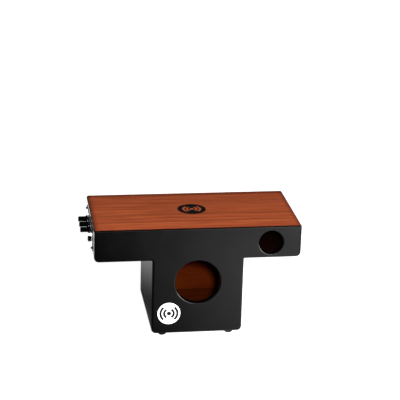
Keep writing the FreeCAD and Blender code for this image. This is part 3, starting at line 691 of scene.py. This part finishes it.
def cross_recess(radius, depth):
    """Change for turned(): a cross slot in a head of that radius, deepest in the middle."""
    half_slot = 0.17 * radius
    reach = 0.62 * radius

    def change(point):
        distance = math.hypot(point.x, point.y)
        narrow = min(abs(point.x), abs(point.y))
        if point.z <= 0 or distance > reach or narrow > half_slot:
            return point
        return point - Vector((0, 0, depth * (1 - 0.6 * distance / reach)))

    return change


def screw(shape, place, head_radius, head_height, shank_radius, shank_length):
    """Domed screw whose seat is at local height 0 and whose head points along local Z."""
    rings = 14
    dome = []
    for step in range(rings + 1):
        share = step / rings
        dome.append((head_radius * share, head_height * (1 - share ** 2) ** 0.5))
    tip = [(0, -shank_length), (0.35 * shank_radius, -shank_length + shank_radius),
           (shank_radius, -shank_length + 2 * shank_radius), (shank_radius, 0)]
    turned(shape, tip + dome[::-1], place, segments=64,
           change=cross_recess(head_radius, 0.55 * head_height))


def corner_places(node, margin, plane):
    """Four corners of a node's box, set in by a margin, in the plane of two axes."""
    low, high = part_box(node)
    first, second = plane
    places = []
    for a in (low[first] + margin, high[first] - margin):
        for b in (low[second] + margin, high[second] - margin):
            place = middle(node)
            place[first], place[second] = a, b
            places.append(place)
    return places


def screw_set(name, node, slot, finishes, seats, turn, head_radius, head, shank_radius, shank):
    """Equal screws in place of a CAD node, each seated at its place with its head along local Z."""
    shape = bmesh.new()
    for seat in seats:
        screw(shape, Matrix.Translation(seat) @ turn, head_radius, head, shank_radius, shank)
    new_piece(name, shape, "box", slot, finishes, node)


def plate_screws(finishes):
    """Four screws that hold the control plate; their heads stand on its face."""
    low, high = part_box("plate_screws")
    radius = 3.1 * MM
    seats = corner_places("plate_screws", radius, (1, 2))
    for seat in seats:
        seat.x = PLATE_FACE
    screw_set("plate_screw_set", "plate_screws", "screw_black", finishes, seats, TO_LEFT,
              radius, head=PLATE_FACE - low.x, shank_radius=1.5 * MM, shank=high.x - PLATE_FACE)


def foot_screws(finishes):
    """One screw up through each foot."""
    low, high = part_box("foot_screws")
    radius, head = 4.2 * MM, 2.6 * MM
    seats = corner_places("foot_screws", radius, (0, 1))
    for seat in seats:
        seat.z = low.z + head
    screw_set("foot_screw_set", "foot_screws", "screw_steel", finishes, seats, TO_FLOOR,
              radius, head, shank_radius=2 * MM, shank=high.z - low.z - head)


def snare_screws(finishes):
    """Two screws down through each snare strip."""
    low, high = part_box("snare_screws")
    radius, head = 3.0 * MM, 1.1 * MM
    seats = corner_places("snare_screws", radius, (0, 1))
    for seat in seats:
        seat.z = high.z - head
    screw_set("snare_screw_set", "snare_screws", "screw_steel", finishes, seats, UPRIGHT,
              radius, head, shank_radius=1.5 * MM, shank=high.z - low.z - head)


def bracket_screws(finishes):
    """Two screws down through the battery's bracket."""
    low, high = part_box("bracket_screws")
    radius, head = 3.0 * MM, 1.5 * MM
    middle_y = (low.y + high.y) / 2
    seats = [Vector((x, middle_y, high.z - head)) for x in (low.x + radius, high.x - radius)]
    screw_set("bracket_screw_set", "bracket_screws", "screw_steel", finishes, seats, UPRIGHT,
              radius, head, shank_radius=1.5 * MM, shank=high.z - low.z - head)


# ---------------------------------------------------------------- controls

CONTROLS = ("volume", "bass", "treble")
GRIP = 6.4 * MM             # radius of the fluted part
SHAFT = 3.0 * MM            # radius of the shaft that the knob sits on
SKIRT_WALL = 1.5 * MM
FLUTES = 20
FLUTE_DEPTH = 0.45 * MM
POINTER = 1.1 * MM          # width of the pointer line


def fluted(start, end):
    """Change for turned(): flutes round the grip between two heights."""
    def change(point):
        distance = math.hypot(point.x, point.y)
        if not start < point.z < end or distance < 0.99 * GRIP:
            return point
        groove = max(0.0, math.cos(FLUTES * math.atan2(point.y, point.x))) * FLUTE_DEPTH
        shrink = 1 - groove / distance
        return Vector((point.x * shrink, point.y * shrink, point.z))

    return change


def knob_outline(skirt, reach):
    """(radius, height) corners of a knob, from the bore for the shaft out and round to its face.

    The skirt is hollow underneath, and the face has a shallow dish inside its rim.
    """
    recess, bore = 3 * MM, reach - 5.5 * MM
    grip_low, grip_high = 5.2 * MM, reach - 2.4 * MM
    rows = 6
    flank = [(GRIP, grip_low + step * (grip_high - grip_low) / rows) for step in range(rows + 1)]
    return [
        (0, bore), (SHAFT, bore), (SHAFT, recess), (skirt - SKIRT_WALL, recess), (skirt - SKIRT_WALL, 0),
        (skirt - 0.3 * MM, 0), (skirt, 0.3 * MM), (skirt, 2.5 * MM), (skirt - 0.3 * MM, 2.9 * MM),
        (GRIP + 0.9 * MM, 4.4 * MM), (GRIP + 0.2 * MM, 4.7 * MM), *flank,
        (GRIP, reach - 1.3 * MM), (GRIP - 0.3 * MM, reach - 0.5 * MM), (GRIP - 0.9 * MM, reach),
        (GRIP - 1.7 * MM, reach), (GRIP - 2.0 * MM, reach - 0.4 * MM), (0, reach - 0.4 * MM)]


def make_knob(name, finishes):
    """Fluted knob with a pale pointer line on its end face and a short mark on its skirt."""
    low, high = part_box(f"{name}_knob")
    centre = middle(f"{name}_knob")
    centre.x = high.x
    place = Matrix.Translation(centre) @ TO_LEFT
    skirt, reach = (high.y - low.y) / 2, high.x - low.x
    shape = bmesh.new()
    flutes = fluted(start=5 * MM, end=reach - 1.5 * MM)
    turned(shape, knob_outline(skirt, reach), place, segments=160, change=flutes)
    body = f"{name}_control"
    new_piece(f"{name}_knob_cap", shape, body, "knob_plastic", finishes, f"{name}_knob")
    shape = bmesh.new()
    half, rounding = POINTER / 2, 0.1 * MM
    block(shape, (0.8 * MM, -half, reach - 0.9 * MM), (GRIP - 0.6 * MM, half, reach), place, rounding)
    block(shape, (GRIP + 1.4 * MM, -half, 2.4 * MM), (skirt + 0.12 * MM, half, 3.5 * MM), place, rounding)
    new_piece(f"{name}_pointer", shape, body, "emblem_white", finishes)


TICKS = 11
TURN_REACH = math.radians(150)
TICK_START = 10.8 * MM
TICK_END = 12.7 * MM
LONG_TICK_END = 13.8 * MM
TICK_HALF_WIDTH = 0.35 * MM


def make_scales(finishes):
    """Plain ticks round each knob on the plate, from one end of its turn to the other."""
    shape = bmesh.new()
    sunk, raised = -0.05 * MM, 0.06 * MM
    for name in CONTROLS:
        centre = middle(f"{name}_knob")
        centre.x = PLATE_FACE
        for step in range(TICKS):
            angle = TURN_REACH * (2 * step / (TICKS - 1) - 1)
            long_tick = step in (0, TICKS // 2, TICKS - 1)
            end = LONG_TICK_END if long_tick else TICK_END
            place = Matrix.Translation(centre) @ TO_LEFT @ Matrix.Rotation(angle, 4, "Z")
            block(shape, (TICK_START, -TICK_HALF_WIDTH, sunk), (end, TICK_HALF_WIDTH, raised), place)
    new_piece("control_scales", shape, "box", "emblem_black", finishes)


def ribbed(count, depth, core):
    """Change for turned(): shallow ribs all round a nut's rim, outside the core's radius."""
    def change(point):
        distance = math.hypot(point.x, point.y)
        if distance < core:
            return point
        shrink = 1 - depth * (0.5 + 0.5 * math.cos(count * math.atan2(point.y, point.x))) / distance
        return Vector((point.x * shrink, point.y * shrink, point.z))

    return change


def make_jack_trim(finishes):
    """Ribbed nut and a bright sleeve in the mouth of the output socket."""
    low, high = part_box("jack_nut")
    centre = middle("jack_nut")
    centre.x = high.x
    place = Matrix.Translation(centre) @ TO_LEFT
    outer, height = (high.y - low.y) / 2, high.x - low.x
    inner, chamfer = 5.5 * MM, 0.7 * MM
    shape = bmesh.new()
    rim = [(inner, 0), (outer, 0), (outer, height - chamfer), (outer - chamfer, height), (inner, height)]
    ribs = ribbed(count=18, depth=0.5 * MM, core=6.5 * MM)
    turned(shape, rim, place, segments=144, change=ribs, closed=True)
    new_piece("jack_nut_ribbed", shape, "box", "jack_plastic", finishes, "jack_nut")
    shape = bmesh.new()
    face = high.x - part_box("output_jack")[0].x
    bore, wall = 3.25 * MM, 0.9 * MM
    sleeve = [(bore, face - 2 * MM), (bore + 0.01 * MM, face), (bore + 0.2 * MM, face + 0.25 * MM),
              (bore + wall, face + 0.25 * MM), (bore + wall + 0.15 * MM, face - 0.1 * MM),
              (bore + 0.3 * MM, face - 0.2 * MM)]
    turned(shape, sleeve, place, segments=64, closed=True)
    new_piece("jack_sleeve", shape, "box", "nut_nickel", finishes)


# ---------------------------------------------------------------- emblems

def wave_motif(shape, place, radius, thickness):
    """Plain sign of a struck point with two sound waves on each side."""
    dot, width = 0.19 * radius, 0.2 * radius
    turned(shape, [(0, 0), (dot, 0), (dot, thickness), (0, thickness)], place, segments=40)
    for side in (0, math.pi):
        for distance, spread in ((0.42, 60), (0.74, 50)):
            half = math.radians(spread)
            curved_bar(shape, place, distance * radius, width, thickness, side - half, side + half)


SIGN_HEIGHT = 0.12 * MM


def make_front_sign(finishes):
    """Black sign on the white badge."""
    low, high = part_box("front_emblem")
    centre = middle("front_emblem")
    centre.y = low.y
    shape = bmesh.new()
    wave_motif(shape, Matrix.Translation(centre) @ TO_FRONT, (high.x - low.x) / 2, SIGN_HEIGHT)
    new_piece("front_emblem_sign", shape, "box", "emblem_black", finishes)


def make_top_sign(finishes):
    """Sign of matt veneer on the black badge, smaller than it by a plain border."""
    low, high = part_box("top_emblem")
    centre = middle("top_emblem")
    centre.z = high.z
    radius = (high.x - low.x) / 2
    shape = bmesh.new()
    wave_motif(shape, Matrix.Translation(centre), 0.8 * radius, SIGN_HEIGHT)
    sign = new_piece("top_emblem_sign", shape, "box", "playing_veneer", finishes)
    paint(sign, inlay_finish())


def inlay_finish():
    """The board's veneer without its pores' relief, a little more matt."""
    finish = Finish("inlay_veneer")
    colour, lines, _ = veneer_colour(finish)
    finish.surface(base_color=colour, roughness=finish.fade(lines, 0.3, 0.7, 0.42, 0.52))
    return finish.material


# ---------------------------------------------------------------- snares

STRANDS = 10                # on each side
STRAND_RADIUS = 1.1 * MM
WIRE = 0.28 * MM            # radius of the wire itself
WIRE_SIDES = 5
COIL_PITCH = 1.25 * MM
STEPS_PER_TURN = 10


def coil_points(start, run, y, z, steps):
    """Points of one coiled wire along X, from a start over a signed run."""
    coil = STRAND_RADIUS - WIRE
    points = []
    for step in range(steps + 1):
        angle = 2 * math.pi * step / STEPS_PER_TURN
        points.append(Vector((start + run * step / steps,
                              y + coil * math.cos(angle),
                              z + coil * math.sin(angle))))
    return points


def make_snares(finishes):
    """Coiled wires in place of the plain strands."""
    for side, outward in (("left", -1), ("right", 1)):
        node = f"snare_wires_{side}"
        low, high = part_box(node)
        start = high.x if outward > 0 else low.x
        length = high.x - low.x
        steps = int(length / COIL_PITCH * STEPS_PER_TURN)
        spacing = (high.y - low.y - 2 * STRAND_RADIUS) / (STRANDS - 1)
        shape = bmesh.new()
        for index in range(STRANDS):
            y = low.y + STRAND_RADIUS + index * spacing
            points = coil_points(start, -outward * length, y, (low.z + high.z) / 2, steps)
            swept(shape, points, WIRE, WIRE_SIDES)
        new_piece(f"snare_coils_{side}", shape, "box", "snare_steel", finishes, node)


# ---------------------------------------------------------------- build

make_camera()
make_studio()
finishes = make_finishes()
paint_cad(finishes)
plate_screws(finishes)
foot_screws(finishes)
snare_screws(finishes)
bracket_screws(finishes)
for control in CONTROLS:
    make_knob(control, finishes)
make_scales(finishes)
make_jack_trim(finishes)
make_front_sign(finishes)
make_top_sign(finishes)
make_snares(finishes)
